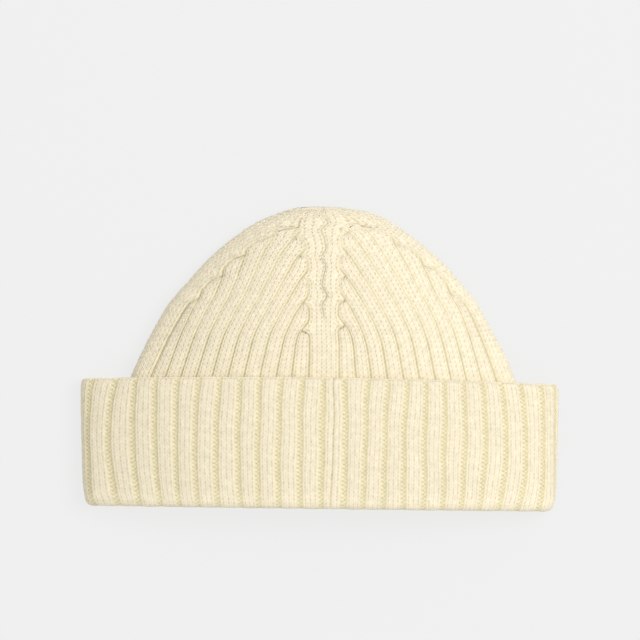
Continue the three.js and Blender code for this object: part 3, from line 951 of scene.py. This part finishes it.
def cuff_sheet():
    """The cuff's one closed sheet, with its stitches."""
    path, marks = cuff_path()
    rings = [ring(cuff_section(y), SPREAD, depth, shift) for y, depth, shift in path]
    length = lengths_along(np.array([points[0] for points in rings]))
    surface = Surface(length, rings)
    fold_mark, out_mark, hem_mark = (length[marks[name]] for name in ("fold", "out", "hem"))
    rib, place, kind, offset, wale, purl = cuff_columns().T
    kind, purl = kind.astype(int), purl.astype(int)
    at, phase = (values[:, None] for values in cuff_rows(length, marks))
    active = soft((at - 0.5) / 2) * soft((hem_mark + 1.4 - at) / 1.2)
    level = np.minimum(at + CHEVRON * CUFF_COURSE * offset * active, length[-1])

    # Ribs, the purl grooves between them and the seam's crease, each with its painted shade.
    knit = purl == 0
    across = np.clip(np.abs(place) / KNIT_HALF, 0, 1)
    turned = rib + place
    past = turned - 4 * RIBS_ROUND
    seam = np.exp(-((turned / SEAM_REACH) ** 2)) + np.exp(-((past / SEAM_REACH) ** 2))
    height = np.where(knit, -CUFF_RIB_FALL * across ** 2, 0) - PURL_DEPTHS[purl]
    height = height - SEAM_DEPTH * seam
    groove_share = np.where(knit, CUFF_EDGE_SHADE * across ** 8, PURL_TONES[purl])
    groove_share = np.clip(groove_share + SEAM_SHADE * seam, 0, 1)

    # Knit stitches, and purl bumps that zigzag up the grooves.
    bump = np.cos(2 * np.pi * (phase + np.where(purl <= 2, 0.0, 0.5)))
    stitches = np.where(knit, stitch_height(kind, phase), PURL_BUMP * bump)
    # Painted shade falls in the knit's holes and between the purl bumps, less on the bumps.
    crease = np.where(knit, stitch_hole_shade(kind, phase), 0.35 - 0.35 * bump)
    bumpy_share = np.clip(groove_share - 0.36 * bump, 0, 1)
    groove_share = np.where(knit, groove_share, bumpy_share)
    crease = np.clip(crease * active * stitch_unevenness(phase, wale, 12), 0, 1)
    height = height + stitches * active

    # The relief is flatter over the hem and round the fold.
    height = height * mix(1, 0.35, soft((at - hem_mark + 1) / 4))
    fold = fade(at, fold_mark, 4) * soft((out_mark + 5 - at) / 6)
    height = height * (1 - 0.55 * fold)
    height = height + 0.08 * drift(phase, wale, 4, 0.8)

    ribs = turned + 0.026 * drift(turned, level / 5.0, 6, 0.9)
    quarters = cuff_warp(ribs, np.interp(level, length, [y + shift for y, _, shift in path]))
    point, normal = surface.at(level, quarters)
    grid = point + normal * height[..., None]
    columns_u = np.append(wale, RIBS_ROUND * 4 * REPEAT_WALES)
    return [make_piece(grid, phase + CHEVRON * offset, columns_u, groove_share, crease)]


# Materials

def fill(node, values):
    """Constants on a node's own inputs."""
    for name, value in values.items():
        node.inputs[name].default_value = value


def wool(name, crest, hollow, shade):
    """Matt wool: pale crests, yellower grooves and holes in painted shade, from the mesh's own
    shares.
    """
    material = bpy.data.materials.new(name)
    material.use_nodes = True
    nodes, links = material.node_tree.nodes, material.node_tree.links

    def add(kind, values=None, sources=None, **settings):
        node = nodes.new("ShaderNode" + kind)
        for key, value in settings.items():
            setattr(node, key, value)
        fill(node, values or {})
        for key, source in (sources or {}).items():
            links.new(source, node.inputs[key])
        return node

    def uneven(noise, low, high):
        """A noise as a factor from low to high."""
        return add("MapRange", {"From Min": 0.3, "From Max": 0.7, "To Min": low, "To Max": high},
                   {"Value": noise.outputs["Fac"]}).outputs["Result"]

    def scaled(colour, factor):
        return add("VectorMath", None, {"Vector": colour, "Scale": factor},
                   operation="SCALE").outputs["Vector"]

    groove = add("Attribute", attribute_name="groove").outputs["Fac"]
    crease = add("Attribute", attribute_name="crease").outputs["Fac"]
    place = add("TexCoord").outputs["Object"]
    stitch = add("UVMap", uv_map="stitches").outputs["UV"]
    # The grooves take a yellower colour with painted shade, and the holes get painted shade
    # multiplied in.
    tone = add("Mix", {"A": (*crest, 1), "B": (*hollow, 1)}, {"Factor": groove}, data_type="RGBA")
    hole = add("Mix", {"B": (*shade, 1)}, {"Factor": crease, "A": tone.outputs["Result"]},
               data_type="RGBA", blend_type="MULTIPLY")

    # The dye is patchy, and each stitch takes the light a little differently.
    patch = add("TexNoise", {"Scale": 320, "Detail": 3}, {"Vector": place})
    fleck = add("TexNoise", {"Scale": 1.3, "Detail": 1}, {"Vector": stitch})
    dyed = scaled(hole.outputs["Result"], uneven(patch, 0.94, 1.04))
    colour = scaled(dyed, uneven(fleck, 0.96, 1.035))

    # The plies of the yarn run slantwise over each stitch, and fine fibres lie over them.
    ply = add("TexWave", {"Scale": 1.2, "Distortion": 1.5, "Detail": 2}, {"Vector": stitch},
              wave_type="BANDS", bands_direction="DIAGONAL")
    fibre = add("TexNoise", {"Scale": 2600, "Detail": 5, "Distortion": 1.2}, {"Vector": place})
    blend = add("Mix", {"Factor": 0.6}, {"A": ply.outputs["Fac"], "B": fibre.outputs["Fac"]},
                data_type="FLOAT")
    bump = add("Bump", {"Strength": 0.7, "Distance": 0.0003}, {"Height": blend.outputs["Result"]})

    shader = nodes["Principled BSDF"]
    fill(shader, {"Roughness": 0.92, "Specular IOR Level": 0.25, "Sheen Weight": 0.25,
                  "Sheen Roughness": 0.6, "Sheen Tint": (1.0, 0.96, 0.86, 1)})
    links.new(colour, shader.inputs["Base Color"])
    links.new(bump.outputs["Normal"], shader.inputs["Normal"])
    return material


# Each wool's colours: its crests, its grooves' yellower colour with painted shade, and the painted
# shade of its holes.
crown_wool = wool("crown wool", (0.957, 0.871, 0.68), (0.62, 0.55, 0.29), (0.74, 0.69, 0.53))
cuff_wool = wool("cuff wool", (0.925, 0.84, 0.655), (0.86, 0.775, 0.50), (0.63, 0.58, 0.41))
build_object("crown_knit", crown_outer() + crown_inner(), crown_wool, ["crown"])
build_object("cuff_knit", cuff_sheet(), cuff_wool, ["cuff"])

# The floor, the light and the camera, in metres

FLOOR_HALF = 4
LIGHT_PLACE = (0.9, 0.3, 1.7)
LIGHT_TARGET = (0, 0.01, 0.01)
LIGHT_SIZE = 1.1
LIGHT_POWER = 20.2
CAMERA_PLACE = (0.00025, 0.0195, 5.0)
SENSOR = 36

# The picture is this wide at this height over the floor.
PICTURE_WIDTH = 0.32
PICTURE_HEIGHT = 0.008

corners = [(-1, -1), (1, -1), (1, 1), (-1, 1)]
floor_points = [(x * FLOOR_HALF, y * FLOOR_HALF, 0) for x, y in corners]
floor_mesh = bpy.data.meshes.new("floor")
floor_mesh.from_pydata(floor_points, [], [(0, 1, 2, 3)])
floor = bpy.data.objects.new("floor", floor_mesh)
bpy.context.scene.collection.objects.link(floor)
pale = bpy.data.materials.new("floor")
pale.use_nodes = True
fill(pale.node_tree.nodes["Principled BSDF"],
     {"Base Color": (0.10, 0.10, 0.10, 1), "Emission Color": (1, 1, 1, 1),
      "Emission Strength": 0.757, "Roughness": 1.0, "Specular IOR Level": 0.0})
floor_mesh.materials.append(pale)

world = bpy.data.worlds.new("studio")
world.use_nodes = True
fill(world.node_tree.nodes["Background"], {"Color": (1, 1, 1, 1), "Strength": 0.75})
bpy.context.scene.world = world

light = bpy.data.lights.new("key", "AREA")
light.shape = "DISK"
light.size = LIGHT_SIZE
light.energy = LIGHT_POWER
key = bpy.data.objects.new("key", light)
bpy.context.scene.collection.objects.link(key)
key.location = LIGHT_PLACE
aim = Vector(LIGHT_TARGET) - Vector(LIGHT_PLACE)
key.rotation_euler = aim.to_track_quat("-Z", "Y").to_euler()

camera_data = bpy.data.cameras.new("camera")
camera_data.sensor_width = SENSOR
camera_data.lens = SENSOR * (CAMERA_PLACE[2] - PICTURE_HEIGHT) / PICTURE_WIDTH
camera = bpy.data.objects.new("camera", camera_data)
bpy.context.scene.collection.objects.link(camera)
camera.location = CAMERA_PLACE
bpy.context.scene.camera = camera
bpy.context.scene.view_settings.view_transform = "Standard"
